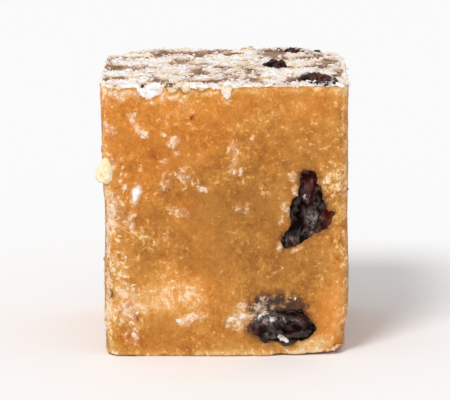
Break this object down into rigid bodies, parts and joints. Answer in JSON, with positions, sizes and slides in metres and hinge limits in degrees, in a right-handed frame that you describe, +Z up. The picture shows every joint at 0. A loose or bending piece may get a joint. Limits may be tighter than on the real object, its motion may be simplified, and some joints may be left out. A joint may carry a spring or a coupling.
{
  "type": "fudge cube",
  "caption": "Block of caramel raisin fudge cut from a slab, with whole and cut raisins in its faces and a crust of pale sugar bloom on top.",
  "frame": {"origin": "middle of the flat foot, at the bottom of the block", "axes": "+Z up through the sugared top, -Y out of the front face, +X to the right seen from the front"},
  "size_m": [0.0278, 0.0248, 0.0311],
  "materials": {
    "fudge": "caramel-brown milk fudge, fine-grained, satin where the knife dragged, with pale sugar bloom",
    "raisin": "dark brown dried raisin, wrinkled, half gloss, dusted with sugar"
  },
  "bodies": {
    "root": {"fudge": "fudge", "raisin_front_upper": "raisin", "raisin_front_lower": "raisin", "raisin_top_middle": "raisin", "raisin_top_front": "raisin", "raisin_top_back": "raisin", "raisin_right": "raisin", "raisin_left": "raisin", "raisin_back_upper": "raisin", "raisin_back_lower": "raisin", "raisin_foot": "raisin"}
  },
  "joints": []
}
